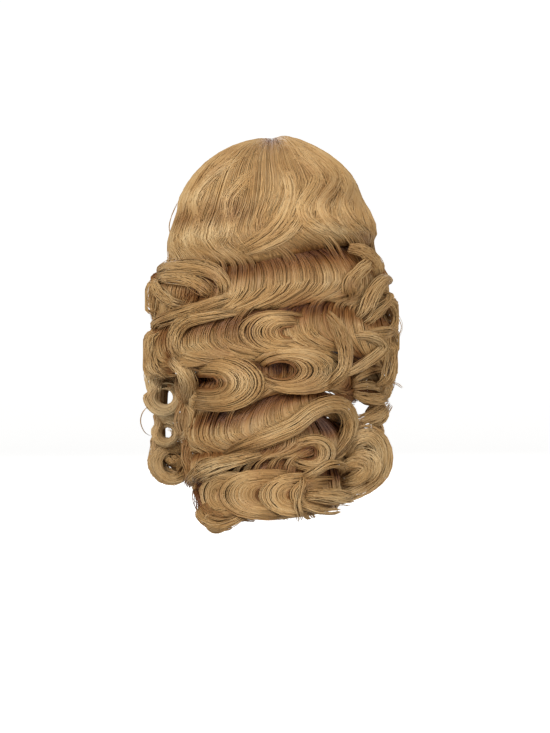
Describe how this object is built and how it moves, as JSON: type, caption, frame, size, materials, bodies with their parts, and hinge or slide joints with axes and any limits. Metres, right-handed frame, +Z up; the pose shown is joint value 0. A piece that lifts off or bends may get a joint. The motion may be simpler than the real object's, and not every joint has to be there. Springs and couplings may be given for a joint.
{
  "type": "finger wave wig",
  "caption": "Shoulder-length blonde wig of sculpted finger waves: a combed crown over ridged wave tiers, with rolled curls at the sides and hem, worn on the head.",
  "frame": {"origin": "inside of the cap where it rests on the top of the wearer's head", "axes": "+Z up along the head, -Y out of the face opening, +X to the wearer's left"},
  "size_m": [0.239, 0.2189, 0.3741],
  "materials": {
    "hair": "satin blonde fibre",
    "cap_net": "matt stretch net"
  },
  "bodies": {
    "root": {"wig_cap": "cap_net", "crown_hair": "hair", "wave_tier_1": "hair", "wave_tier_2": "hair", "wave_tier_3": "hair", "wave_tier_4": "hair", "wave_tier_5": "hair", "wave_tier_6": "hair", "ring_curl_left_1": "hair", "ring_curl_left_2": "hair", "ring_curl_left_3": "hair", "ring_curl_right_1": "hair", "ring_curl_right_2": "hair", "ring_curl_right_3": "hair", "roll_right": "hair", "hem_curl": "hair"}
  },
  "joints": []
}
